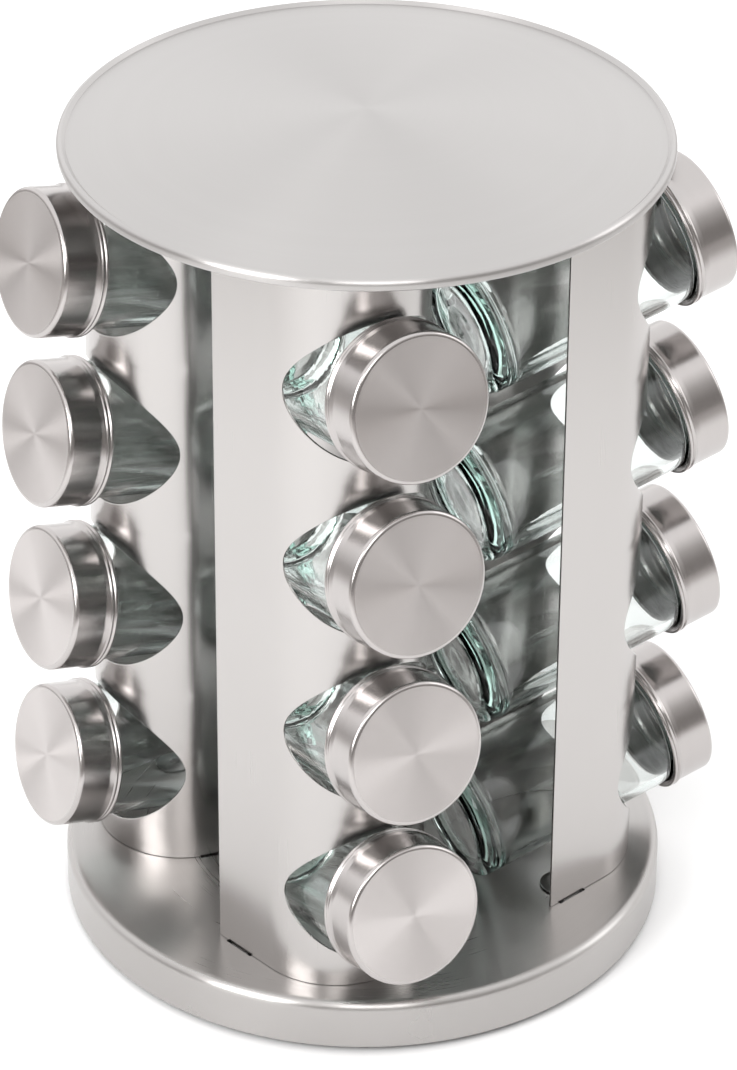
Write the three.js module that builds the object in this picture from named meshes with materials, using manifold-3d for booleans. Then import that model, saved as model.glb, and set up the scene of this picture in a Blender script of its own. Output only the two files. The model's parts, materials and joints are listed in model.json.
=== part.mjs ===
// A revolving spice rack: a stainless tower of four rolled sheets on a turntable, holding sixteen glass jars.
// Millimetres, +Z up. The origin is on the turntable's axis, on the surface that the rack stands on.
// The tower repeats every quarter turn; bay 0 faces -Y and the others follow it round anticlockwise.

import * as THREE from 'three';
import { mergeVertices } from 'three/addons/utils/BufferGeometryUtils.js';
import Module from 'manifold-3d';

const wasm = await Module();
wasm.setup();

// ---- Driving dimensions -------------------------------------------------------------------------------

const BAYS = 4;
const ROWS = 4;
const SHEET = 0.8;              // stainless sheet thickness
const GAP = 0.3;                // clearance between pieces that touch
const DEG = Math.PI / 180;

const PAN_RADIUS = 95;          // revolving base cover
const PAN_BOTTOM = 2.5;         // lower edge of its rim
const PAN_TOP = 18.5;
const PAN_CORNER = 3;

const CAP_RADIUS = 91.3;        // domed top disc
const CAP_RIM = 264.7;          // lower edge of its rim
const CAP_RIM_HEIGHT = 2.2;
const CAP_RISE = 9;

const COLUMN_X = -36;           // axis of the rolled column in bay 0
const COLUMN_Y = -46.2;
const COLUMN_RADIUS = 27.1;     // outside
const PANEL_ANGLE = 13.2 * DEG; // how far the flat panel flares from the bay's centre line
const PANEL_LENGTH = 23.7;
const LEG_ANGLE = 10 * DEG;     // how far the roll goes on past a half turn, on the inner side
const LEG_LENGTH = 13;

const TILT = 11.5 * DEG;        // jars slope up and outwards
const ROW_PITCH = 58.7;
const FACE_Y = -94.2;           // centre of a lid's face in bay 0
const FACE_Z = 232.1;           // the same, top row
const HOLE_Z = 226.9;           // centre of the top row's holes
const HOLE_HALF_WIDTH = 24.2;
const HOLE_HALF_HEIGHT = 23.1;

const LID_RADIUS = 22.45;
const LID_DEPTH = 14.9;
const LID_ROUND = 1.4;
const LID_WALL = 0.7;
const BEAD_RADIUS = 23.1;       // rolled edge round the lid's mouth
const BEAD_DEPTH = 2.6;

const JAR_RADIUS = 21;
const JAR_END = 85;             // the jar's bottom, measured back from the lid's face
const JAR_MOUTH = 1.6;          // the jar's lip, measured the same way
const JAR_SHOULDER = 15.6;
const JAR_HEEL = 3.6;
const NECK_RADIUS = 19.6;
const GLASS_WALL = 2.3;
const GLASS_FLOOR = 5.4;

const TAB_DROP = 2.4;           // how far a sheet's tab goes past the plate that it is slotted into
const SLOT_WIDTH = 1.6;
const TAB_ROOT = 2;             // how far a tab's block runs into the sheet that it is one with
const PANEL_TAB_AT = 9.2;       // from the panel's free edge to the middle of its tab
const PANEL_TAB = 7;
const PANEL_SLOT = 12;
const ROLL_TAB_ANGLE = -8 * DEG; // where the second tab stands on the roll
const ROLL_TAB = 4;
const ROLL_SLOT = 7.6;

const RIVET_X = -58.4;          // blind rivet in bay 0
const RIVET_Y = -38.3;
const RIVET_FLANGE = 6.2;
const RIVET_SHANK = 2.4;
const RIVET_EYE = 1.3;

const SPIDER_TOP = PAN_TOP - SHEET - GAP;   // arms that carry the pan
const SPIDER_SHEET = 1;
const SPIDER_HUB = 40;
const SPIDER_REACH = 73.4;
const SPIDER_ARM_WIDTH = 15;
const FOOT_RADIUS = 72;
const PAD_TOP = 2.3;            // rubber ring under the foot
const RACE_INNER = 25;
const RACE_OUTER = 39;
const BALL_RING = 32;
const BALL_RADIUS = 2;
const BALL_HEIGHT = 10.3;
const BALLS = 10;
const SPINDLE_RADIUS = 4;
const WASHER_RADIUS = 15;
const NUT_RADIUS = 7;           // over its corners
const HUB_HOLE = 7;
const FOOT_STEP = 7;            // top of the foot's raised middle

const FINE = 44;                // facets round the visible discs
const HIDDEN = 24;              // facets round the rings of the turntable
const ROUND = 16;               // facets round a jar or a lid
const SMALL = 12;               // facets round a rivet
const ROLL_STEPS = 12;          // facets along a sheet's roll
const HOLE_STEPS = 18;          // corners round a jar hole

// ---- Materials ----------------------------------------------------------------------------------------

const steel = () => new THREE.MeshStandardMaterial({ color: 0xc9c6c2, roughness: 0.34, metalness: 1 });
const lidSteel = () => new THREE.MeshStandardMaterial({ color: 0xc6c1bd, roughness: 0.3, metalness: 1 });
const zincSteel = () => new THREE.MeshStandardMaterial({ color: 0x9a9da0, roughness: 0.45, metalness: 1 });
const glass = () => new THREE.MeshStandardMaterial({ color: 0x9fb5ab, roughness: 0.05, metalness: 0 });
const rubber = () => new THREE.MeshStandardMaterial({ color: 0x1b1b1c, roughness: 0.85, metalness: 0 });

// ---- Solids -------------------------------------------------------------------------------------------

// A geometry as a manifold solid, with its shared corners merged and its faces turned out.
function solid(geometry) {
  const bare = geometry.clone();
  bare.deleteAttribute('normal');
  bare.deleteAttribute('uv');
  const merged = mergeVertices(bare, 1e-4);
  const position = merged.attributes.position;
  const corners = [];
  for (let i = 0; i < merged.index.count; i += 3) {
    const [a, b, c] = [0, 1, 2].map((k) => merged.index.getX(i + k));
    if (a !== b && b !== c && c !== a) corners.push(a, b, c);
  }
  const point = (i) => new THREE.Vector3().fromBufferAttribute(position, i);
  let volume = 0;
  for (let i = 0; i < corners.length; i += 3) {
    volume += point(corners[i]).dot(point(corners[i + 1]).cross(point(corners[i + 2])));
  }
  if (volume < 0) corners.reverse();
  return new wasm.Manifold(new wasm.Mesh({
    numProp: 3,
    vertProperties: new Float32Array(position.array),
    triVerts: new Uint32Array(corners),
  }));
}

// A manifold solid as a three.js geometry.
function geometryOf(manifold) {
  const mesh = manifold.getMesh();
  const geometry = new THREE.BufferGeometry();
  geometry.setAttribute('position', new THREE.BufferAttribute(new Float32Array(mesh.vertProperties), 3));
  geometry.setIndex(new THREE.BufferAttribute(new Uint32Array(mesh.triVerts), 1));
  geometry.computeVertexNormals();
  return geometry;
}

// A profile of [radius, height] pairs turned about Z. A ring's profile closes on itself.
function turned(profile, facets = FINE) {
  const points = profile.map(([r, z]) => new THREE.Vector2(r, z));
  return solid(new THREE.LatheGeometry(points, facets).rotateX(Math.PI / 2));
}

// A flat outline raised from one height to another.
function raised(shape, low, high, curveSegments) {
  const options = { depth: high - low, bevelEnabled: false, curveSegments };
  return solid(new THREE.ExtrudeGeometry(shape, options).translate(0, 0, low));
}

// A box of the given size about a point, turned about Z.
function block(size, centre, turn = 0) {
  return solid(new THREE.BoxGeometry(...size).rotateZ(turn).translate(...centre));
}

// A quarter arc of profile points, from one angle to another.
function arc(r, z, radius, from, to, steps) {
  return Array.from({ length: steps + 1 }, (_, i) => {
    const a = (from + (to - from) * i / steps) * DEG;
    return [r + radius * Math.cos(a), z + radius * Math.sin(a)];
  });
}

function inBay(manifold, bay) {
  return manifold.rotate([0, 0, 360 * bay / BAYS]);
}

// ---- Places that several pieces share -----------------------------------------------------------------

// Middle of the panel's tab: back along the panel from its free edge, halfway through the sheet.
function panelTabPlace() {
  const away = PANEL_LENGTH - PANEL_TAB_AT;
  const mid = COLUMN_RADIUS - SHEET / 2;
  const x = COLUMN_X - mid * Math.cos(PANEL_ANGLE) - away * Math.sin(PANEL_ANGLE);
  const y = COLUMN_Y - mid * Math.sin(PANEL_ANGLE) + away * Math.cos(PANEL_ANGLE);
  return { x, y, turn: Math.PI / 2 + PANEL_ANGLE };
}

// Middle of the tab on the roll.
function rollTabPlace() {
  const mid = COLUMN_RADIUS - SHEET / 2;
  const x = COLUMN_X + mid * Math.cos(ROLL_TAB_ANGLE);
  const y = COLUMN_Y + mid * Math.sin(ROLL_TAB_ANGLE);
  return { x, y, turn: Math.PI / 2 + ROLL_TAB_ANGLE };
}

const TABS = [
  { ...panelTabPlace(), tab: PANEL_TAB, slot: PANEL_SLOT },
  { ...rollTabPlace(), tab: ROLL_TAB, slot: ROLL_SLOT },
];

// Slots for every bay's tabs, cut through a plate between two heights.
function slots(low, high, lengthOf) {
  const height = high - low;
  const cuts = [];
  for (let bay = 0; bay < BAYS; bay++) {
    for (const place of TABS) {
      const size = [lengthOf(place), SLOT_WIDTH, height];
      cuts.push(inBay(block(size, [place.x, place.y, (low + high) / 2], place.turn), bay));
    }
  }
  return cuts;
}

// ---- Turntable ----------------------------------------------------------------------------------------

function rubberRing() {
  return turned([[60, 0], [70, 0], [71, 1.1], [70, PAD_TOP], [60, PAD_TOP], [59, 1.1], [60, 0]], HIDDEN);
}

// Pressed foot: a flat rim on the rubber ring and a raised middle that carries the bearing.
function footPlate() {
  const low = PAD_TOP + GAP;
  return turned([
    [SPINDLE_RADIUS + GAP, FOOT_STEP - 1], [42, FOOT_STEP - 1], [50, low], [FOOT_RADIUS, low],
    [FOOT_RADIUS, low + 1], [50.6, low + 1], [42.6, FOOT_STEP], [SPINDLE_RADIUS + GAP, FOOT_STEP],
    [SPINDLE_RADIUS + GAP, FOOT_STEP - 1],
  ], HIDDEN);
}

function lowerRace() {
  const low = FOOT_STEP + GAP;
  return turned([
    [RACE_INNER, low], [RACE_OUTER, low], [RACE_OUTER, low + 2], [RACE_OUTER - 1, low + 2],
    [RACE_OUTER - 1, low + 0.8], [RACE_INNER + 1, low + 0.8], [RACE_INNER + 1, low + 2],
    [RACE_INNER, low + 2], [RACE_INNER, low],
  ], HIDDEN);
}

// Flat cage ring with its balls.
function ballCage() {
  const half = 0.4;
  const [inner, outer] = [BALL_RING - 3, BALL_RING + 3];
  let cage = turned([
    [inner, BALL_HEIGHT - half], [outer, BALL_HEIGHT - half],
    [outer, BALL_HEIGHT + half], [inner, BALL_HEIGHT + half], [inner, BALL_HEIGHT - half],
  ], HIDDEN);
  for (let i = 0; i < BALLS; i++) {
    const a = 2 * Math.PI * i / BALLS;
    const ball = new THREE.SphereGeometry(BALL_RADIUS, 6, 4);
    ball.translate(BALL_RING * Math.cos(a), BALL_RING * Math.sin(a), BALL_HEIGHT);
    cage = cage.add(solid(ball));
  }
  return cage;
}

// Upper half of the bearing: a pressed hub over the balls and four arms out to the rivets.
function spider() {
  const hubLow = BALL_HEIGHT + BALL_RADIUS + GAP;
  const armLow = SPIDER_TOP - SPIDER_SHEET;
  let plate = turned([
    [HUB_HOLE, hubLow], [RACE_OUTER - 4, hubLow], [RACE_OUTER, armLow], [SPIDER_HUB + 2, armLow],
    [SPIDER_HUB + 2, SPIDER_TOP], [RACE_OUTER - 0.6, SPIDER_TOP],
    [RACE_OUTER - 4.6, hubLow + SPIDER_SHEET], [HUB_HOLE, hubLow + SPIDER_SHEET], [HUB_HOLE, hubLow],
  ], HIDDEN);
  const reach = SPIDER_REACH - SPIDER_HUB;
  const direction = Math.atan2(RIVET_Y, RIVET_X);
  const middle = SPIDER_HUB + reach / 2;
  for (let bay = 0; bay < BAYS; bay++) {
    const size = [reach, SPIDER_ARM_WIDTH, SPIDER_SHEET];
    const centre = [middle * Math.cos(direction), middle * Math.sin(direction), SPIDER_TOP - SPIDER_SHEET / 2];
    plate = plate.add(inBay(block(size, centre, direction), bay));
    plate = plate.subtract(inBay(rivetHole(), bay));
  }
  return plate;
}

function rivetHole() {
  const cutter = new THREE.CylinderGeometry(RIVET_SHANK + GAP, RIVET_SHANK + GAP, 12, ROUND);
  return solid(cutter.rotateX(Math.PI / 2).translate(RIVET_X, RIVET_Y, PAN_TOP - 3));
}

function spindle() {
  const top = SPIDER_TOP - GAP;
  return turned([
    [0, 3.2], [8, 3.2], [9, 4], [9, 5.7], [SPINDLE_RADIUS, 5.7], [SPINDLE_RADIUS, top - 0.6],
    [SPINDLE_RADIUS - 0.6, top], [0, top],
  ], HIDDEN);
}

function spindleWasher() {
  const low = BALL_HEIGHT + BALL_RADIUS + SPIDER_SHEET + 2 * GAP;
  const bore = SPINDLE_RADIUS + GAP;
  return turned([
    [bore, low], [WASHER_RADIUS, low], [WASHER_RADIUS, low + 1], [bore, low + 1], [bore, low],
  ], HIDDEN);
}

function spindleNut() {
  const low = BALL_HEIGHT + BALL_RADIUS + SPIDER_SHEET + 1 + 3 * GAP;
  const high = SPIDER_TOP - GAP;
  const hexagon = new THREE.CylinderGeometry(NUT_RADIUS, NUT_RADIUS, high - low, 6).rotateX(Math.PI / 2);
  const boreRadius = SPINDLE_RADIUS + GAP;
  const bore = new THREE.CylinderGeometry(boreRadius, boreRadius, 12, HIDDEN).rotateX(Math.PI / 2);
  const middle = (low + high) / 2;
  return solid(hexagon.translate(0, 0, middle)).subtract(solid(bore.translate(0, 0, middle)));
}

// ---- Tower --------------------------------------------------------------------------------------------

// Inverted pan: a flat top with a rounded shoulder and an upright rim.
function basePan() {
  const inner = PAN_RADIUS - SHEET;
  const turn = PAN_RADIUS - PAN_CORNER;
  const shoulder = PAN_TOP - PAN_CORNER;
  let pan = turned([
    [0, PAN_TOP], ...arc(turn, shoulder, PAN_CORNER, 90, 0, 3), [PAN_RADIUS, PAN_BOTTOM],
    [inner, PAN_BOTTOM], ...arc(turn, shoulder, PAN_CORNER - SHEET, 0, 90, 3), [0, PAN_TOP - SHEET],
  ]);
  for (const cut of slots(PAN_TOP - 2, PAN_TOP + 2, (place) => place.slot)) pan = pan.subtract(cut);
  for (let bay = 0; bay < BAYS; bay++) pan = pan.subtract(inBay(rivetHole(), bay));
  return pan;
}

// Blind rivet: a broad flange with an eye, a shank, and the set bulb under the spider.
function rivet(bay) {
  const flangeLow = PAN_TOP + GAP;
  const bulbTop = SPIDER_TOP - SPIDER_SHEET - GAP;
  const bulbLow = bulbTop - 3;
  const body = turned([
    [RIVET_EYE, flangeLow + 1.1], [RIVET_FLANGE - 1.4, flangeLow + 1.1], [RIVET_FLANGE, flangeLow + 0.3],
    [RIVET_FLANGE, flangeLow], [RIVET_SHANK, flangeLow], [RIVET_SHANK, bulbTop], [RIVET_SHANK + 1.2, bulbTop],
    [RIVET_SHANK + 1.2, bulbLow + 0.6], [RIVET_SHANK, bulbLow], [RIVET_EYE, bulbLow],
    [RIVET_EYE, flangeLow + 1.1],
  ], SMALL);
  return inBay(body.translate([RIVET_X, RIVET_Y, 0]), bay);
}

// Plan of one sheet: the flat panel, the roll, and the short inner leg.
function sheetPlan() {
  const start = Math.PI + PANEL_ANGLE;
  const end = 2 * Math.PI + LEG_ANGLE;
  const at = (radius, angle, along) => [
    COLUMN_X + radius * Math.cos(angle) + along * Math.sin(angle),
    COLUMN_Y + radius * Math.sin(angle) - along * Math.cos(angle),
  ];
  const inner = COLUMN_RADIUS - SHEET;
  const plan = new THREE.Shape();
  plan.moveTo(...at(COLUMN_RADIUS, start, PANEL_LENGTH));
  plan.lineTo(...at(COLUMN_RADIUS, start, 0));
  plan.absarc(COLUMN_X, COLUMN_Y, COLUMN_RADIUS, start, end, false);
  plan.lineTo(...at(COLUMN_RADIUS, end, -LEG_LENGTH));
  plan.lineTo(...at(inner, end, -LEG_LENGTH));
  plan.absarc(COLUMN_X, COLUMN_Y, inner, end, start, true);
  plan.lineTo(...at(inner, start, PANEL_LENGTH));
  plan.closePath();
  return plan;
}

// One stainless sheet of the tower, with its four jar holes and its slotted-in tabs.
function columnSheet(bay) {
  const low = PAN_TOP + GAP;
  const high = CAP_RIM - GAP - SHEET - GAP;
  let sheet = raised(sheetPlan(), low, high, ROLL_STEPS);
  const depth = 30;
  const cutterY = COLUMN_Y - COLUMN_RADIUS / 4 - depth / 2;
  for (let row = 0; row < ROWS; row++) {
    const cutter = new THREE.CylinderGeometry(1, 1, depth, HOLE_STEPS);
    cutter.scale(HOLE_HALF_WIDTH, 1, HOLE_HALF_HEIGHT);
    sheet = sheet.subtract(solid(cutter.translate(COLUMN_X, cutterY, HOLE_Z - row * ROW_PITCH)));
  }
  for (const place of TABS) {
    const sides = [[low - SHEET - GAP - TAB_DROP, low + TAB_ROOT], [high - TAB_ROOT, high + SHEET + TAB_DROP]];
    for (const [from, to] of sides) {
      const tab = [place.tab, SHEET, to - from];
      sheet = sheet.add(block(tab, [place.x, place.y, (from + to) / 2], place.turn));
    }
  }
  return inBay(sheet, bay);
}

// Flat plate inside the cap, which the sheets' upper tabs are slotted into.
function topPlate() {
  const low = CAP_RIM - GAP - SHEET;
  const radius = CAP_RADIUS - 3;
  let plate = turned([[0, low], [radius, low], [radius, low + SHEET], [0, low + SHEET]]);
  for (const cut of slots(low - 2, low + 3, (place) => place.tab + 1)) plate = plate.subtract(cut);
  return plate;
}

// Shallow spun dome with a small rounded rim.
function topCap() {
  const rimTop = CAP_RIM + CAP_RIM_HEIGHT;
  const apex = rimTop + CAP_RISE;
  const edge = CAP_RADIUS - 1.5;
  const steps = 4;
  const dome = (drop) => Array.from({ length: steps + 1 }, (_, i) => {
    const r = (edge - drop) * i / steps;
    return [r, apex - drop - CAP_RISE * (r / edge) ** 2];
  });
  return turned([
    ...dome(0), [CAP_RADIUS - 0.4, rimTop - 0.6], [CAP_RADIUS, rimTop - 1.4], [CAP_RADIUS, CAP_RIM],
    [CAP_RADIUS - SHEET, CAP_RIM], [CAP_RADIUS - SHEET, rimTop - 1.4], ...dome(SHEET).reverse(),
  ]);
}

// ---- Jars and lids, in a frame whose origin is the lid's face and whose +Z is the jar's axis ----------

function jarBody() {
  const inside = JAR_RADIUS - GLASS_WALL;
  const mouth = NECK_RADIUS - GLASS_WALL;
  return turned([
    [0, -JAR_END + 1], [JAR_RADIUS - JAR_HEEL, -JAR_END], [JAR_RADIUS, -JAR_END + JAR_HEEL],
    [JAR_RADIUS, -JAR_SHOULDER - 2.4], [NECK_RADIUS, -JAR_SHOULDER],
    [NECK_RADIUS, -JAR_MOUTH], [mouth, -JAR_MOUTH], [mouth, -JAR_SHOULDER], [inside, -JAR_SHOULDER - 3],
    [inside, -JAR_END + GLASS_FLOOR + 3], [inside - 3, -JAR_END + GLASS_FLOOR], [0, -JAR_END + GLASS_FLOOR],
  ], ROUND);
}

function lidBody() {
  const inside = LID_RADIUS - LID_WALL;
  return turned([
    [0, 0], [LID_RADIUS - LID_ROUND, 0], [LID_RADIUS, -LID_ROUND],
    [LID_RADIUS, -LID_DEPTH + BEAD_DEPTH], [BEAD_RADIUS, -LID_DEPTH + BEAD_DEPTH / 2],
    [BEAD_RADIUS, -LID_DEPTH], [inside, -LID_DEPTH], [inside, -LID_ROUND],
    [LID_RADIUS - LID_ROUND, -LID_WALL], [0, -LID_WALL],
  ], ROUND);
}

// ---- Assembly -----------------------------------------------------------------------------------------

function named(name, geometry, material) {
  const mesh = new THREE.Mesh(geometry, material);
  mesh.name = name;
  return mesh;
}

function piece(name, manifold, material) {
  return named(name, geometryOf(manifold), material);
}

// The group that carries a jar and its lid: turned up and outwards at its place in the tower.
function jarStation(bay, row) {
  const quarter = new THREE.Group();
  quarter.rotation.z = 2 * Math.PI * bay / BAYS;
  const station = new THREE.Group();
  station.position.set(COLUMN_X, FACE_Y, FACE_Z - row * ROW_PITCH);
  station.rotation.x = Math.PI / 2 - TILT;
  quarter.add(station);
  return { quarter, station };
}

const carousel = new THREE.Group();

carousel.add(
  piece('rubber_ring', rubberRing(), rubber()),
  piece('foot_plate', footPlate(), zincSteel()),
  piece('lower_race', lowerRace(), zincSteel()),
  piece('ball_cage', ballCage(), zincSteel()),
  piece('turntable_spider', spider(), zincSteel()),
  piece('spindle', spindle(), zincSteel()),
  piece('spindle_washer', spindleWasher(), zincSteel()),
  piece('spindle_nut', spindleNut(), zincSteel()),
  piece('base_pan', basePan(), steel()),
  piece('top_plate', topPlate(), steel()),
  piece('top_cap', topCap(), steel()),
);

const jarGeometry = geometryOf(jarBody());
const lidGeometry = geometryOf(lidBody());
for (let bay = 0; bay < BAYS; bay++) {
  carousel.add(piece(`column_sheet_${bay + 1}`, columnSheet(bay), steel()));
  carousel.add(piece(`rivet_${bay + 1}`, rivet(bay), zincSteel()));
  for (let row = 0; row < ROWS; row++) {
    const { quarter, station } = jarStation(bay, row);
    const label = `${bay + 1}_${row + 1}`;
    station.add(named(`jar_${label}`, jarGeometry.clone(), glass()));
    station.add(named(`lid_${label}`, lidGeometry.clone(), lidSteel()));
    carousel.add(quarter);
  }
}

export default carousel;
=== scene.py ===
"""A revolving spice rack: spun steel cap and base, four rolled sheets and sixteen tilted jars.

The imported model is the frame. Every shape below is worked out in millimetres in the frame's own
axes, as a surface of two parameters or a profile carried round an axis, and is put into its mesh in
metres. Bay 1 faces -Y, and bays 2 to 4 follow anticlockwise seen from above.
"""

from __future__ import annotations

import json
import logging
import math
from dataclasses import dataclass, field
from enum import Enum

import bpy
import numpy as np
from mathutils import Matrix, Vector

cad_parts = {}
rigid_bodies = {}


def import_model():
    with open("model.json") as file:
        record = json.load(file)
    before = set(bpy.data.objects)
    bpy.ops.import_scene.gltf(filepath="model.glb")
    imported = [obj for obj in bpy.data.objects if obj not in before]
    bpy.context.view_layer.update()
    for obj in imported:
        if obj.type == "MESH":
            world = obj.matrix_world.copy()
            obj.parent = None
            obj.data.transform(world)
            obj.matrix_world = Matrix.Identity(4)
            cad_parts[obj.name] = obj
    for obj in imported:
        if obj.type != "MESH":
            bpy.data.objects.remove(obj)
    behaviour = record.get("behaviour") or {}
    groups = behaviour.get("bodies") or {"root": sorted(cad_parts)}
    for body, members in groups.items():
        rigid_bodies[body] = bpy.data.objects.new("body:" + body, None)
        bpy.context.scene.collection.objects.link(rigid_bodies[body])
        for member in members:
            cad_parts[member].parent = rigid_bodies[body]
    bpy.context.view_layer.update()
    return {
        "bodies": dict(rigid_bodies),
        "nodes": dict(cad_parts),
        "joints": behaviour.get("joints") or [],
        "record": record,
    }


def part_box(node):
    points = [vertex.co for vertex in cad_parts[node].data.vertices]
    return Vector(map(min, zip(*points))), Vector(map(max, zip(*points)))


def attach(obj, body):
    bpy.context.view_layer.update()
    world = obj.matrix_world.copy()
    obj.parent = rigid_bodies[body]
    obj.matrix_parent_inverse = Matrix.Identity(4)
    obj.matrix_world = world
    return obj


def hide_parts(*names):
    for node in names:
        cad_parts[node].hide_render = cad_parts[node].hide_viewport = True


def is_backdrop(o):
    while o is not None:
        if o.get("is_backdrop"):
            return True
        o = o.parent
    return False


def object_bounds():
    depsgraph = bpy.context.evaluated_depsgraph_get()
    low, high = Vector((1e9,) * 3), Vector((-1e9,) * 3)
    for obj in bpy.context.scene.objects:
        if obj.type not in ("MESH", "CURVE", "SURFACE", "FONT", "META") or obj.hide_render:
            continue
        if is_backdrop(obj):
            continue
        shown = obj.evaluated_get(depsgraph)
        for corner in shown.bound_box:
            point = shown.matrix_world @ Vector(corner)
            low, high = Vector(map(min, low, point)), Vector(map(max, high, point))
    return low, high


log = logging.getLogger("carousel")

MM = 0.001
BAYS = 4
ROWS = 4


# ---- Shader maths ------------------------------------------------------------------------------


class Value:
    """One number that changes over a surface: a socket that takes part in Python expressions."""

    def __init__(self, shader: "Shader", socket: bpy.types.NodeSocket) -> None:
        """Wraps an output socket of a shader's node tree."""
        self.shader = shader
        self.socket = socket

    def _math(self, operation: str, *values: object) -> "Value":
        """Adds one Math node and returns its result."""
        return self.shader.maths(operation, *values)

    def __add__(self, other: object) -> "Value":
        """This value plus another."""
        return self._math("ADD", self, other)

    def __radd__(self, other: object) -> "Value":
        """Another value plus this one."""
        return self._math("ADD", other, self)

    def __sub__(self, other: object) -> "Value":
        """This value less another."""
        return self._math("SUBTRACT", self, other)

    def __rsub__(self, other: object) -> "Value":
        """Another value less this one."""
        return self._math("SUBTRACT", other, self)

    def __mul__(self, other: object) -> "Value":
        """This value times another."""
        return self._math("MULTIPLY", self, other)

    def __rmul__(self, other: object) -> "Value":
        """Another value times this one."""
        return self._math("MULTIPLY", other, self)

    def __truediv__(self, other: object) -> "Value":
        """This value over another."""
        return self._math("DIVIDE", self, other)

    def __pow__(self, other: object) -> "Value":
        """This value raised to a power."""
        return self._math("POWER", self, other)

    def clamped(self) -> "Value":
        """This value held between 0 and 1."""
        return self._math("MINIMUM", self._math("MAXIMUM", self, 0.0), 1.0)


class Shader:
    """A material's or world's node tree, with one method for any node and one for Math nodes."""

    def __init__(self, tree: bpy.types.NodeTree) -> None:
        """Empties the tree and keeps it."""
        self.tree = tree
        tree.nodes.clear()

    def node(
        self, kind: str, settings: dict | None = None, inputs: dict | None = None
    ) -> bpy.types.Node:
        """Adds a node.

        Args:
            kind: The node's type.
            settings: Properties set first. "stops" gives a colour ramp its positions and colours.
            inputs: Socket names or numbers, with a value, a Value or a socket for each.

        Returns:
            The new node.
        """
        made = self.tree.nodes.new(kind)
        for name, value in (settings or {}).items():
            if name == "stops":
                self._stops(made.color_ramp, value)
            else:
                setattr(made, name, value)
        for name, value in (inputs or {}).items():
            source = value.socket if isinstance(value, Value) else value
            if isinstance(source, bpy.types.NodeSocket):
                self.tree.links.new(source, made.inputs[name])
            else:
                made.inputs[name].default_value = source
        return made

    @staticmethod
    def _stops(ramp: bpy.types.ColorRamp, stops: list[tuple[float, tuple]]) -> None:
        """Gives a colour ramp its stops, each a position and an RGB colour."""
        while len(ramp.elements) < len(stops):
            ramp.elements.new(0.5)
        for element, (position, colour) in zip(ramp.elements, stops):
            element.position = position
            element.color = (*colour, 1.0)

    def maths(self, operation: str, *values: object) -> Value:
        """Adds a Math node of one operation over the values given."""
        inputs = dict(enumerate(values))
        made = self.node("ShaderNodeMath", {"operation": operation}, inputs)
        return Value(self, made.outputs[0])

    def noise(self, vector: bpy.types.NodeSocket, scale: float, detail: float = 2.0) -> Value:
        """A three-dimensional noise from 0 to 1 at a vector."""
        inputs = {"Vector": vector, "Scale": scale, "Detail": detail}
        return Value(self, self.node("ShaderNodeTexNoise", None, inputs).outputs["Fac"])

    def lines(self, along: Value, scale: float, detail: float = 3.0) -> Value:
        """A one-dimensional noise from 0 to 1, so that it makes lines across its direction."""
        settings = {"noise_dimensions": "1D"}
        inputs = {"W": along, "Scale": scale, "Detail": detail}
        return Value(self, self.node("ShaderNodeTexNoise", settings, inputs).outputs["Fac"])

    def blend(self, share: Value, first: tuple, second: tuple) -> bpy.types.NodeSocket:
        """A colour between two others, by a share from 0 to 1."""
        inputs = {0: share, 6: (*first, 1.0), 7: (*second, 1.0)}
        return self.node("ShaderNodeMix", {"data_type": "RGBA"}, inputs).outputs[2]


def new_material(name: str) -> tuple[bpy.types.Material, Shader]:
    """Makes an empty material and the shader that builds its nodes."""
    material = bpy.data.materials.new(name)
    material.use_nodes = True
    return material, Shader(material.node_tree)


# ---- Finishes ----------------------------------------------------------------------------------


class Grain(Enum):
    """Which way the fine lines of a metal surface run."""

    SPUN = "in circles about the upright axis"
    TURNED = "round the piece, across its profile"
    UPRIGHT = "along the second direction of the sheet's own map"
    NONE = "no lines"


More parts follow.
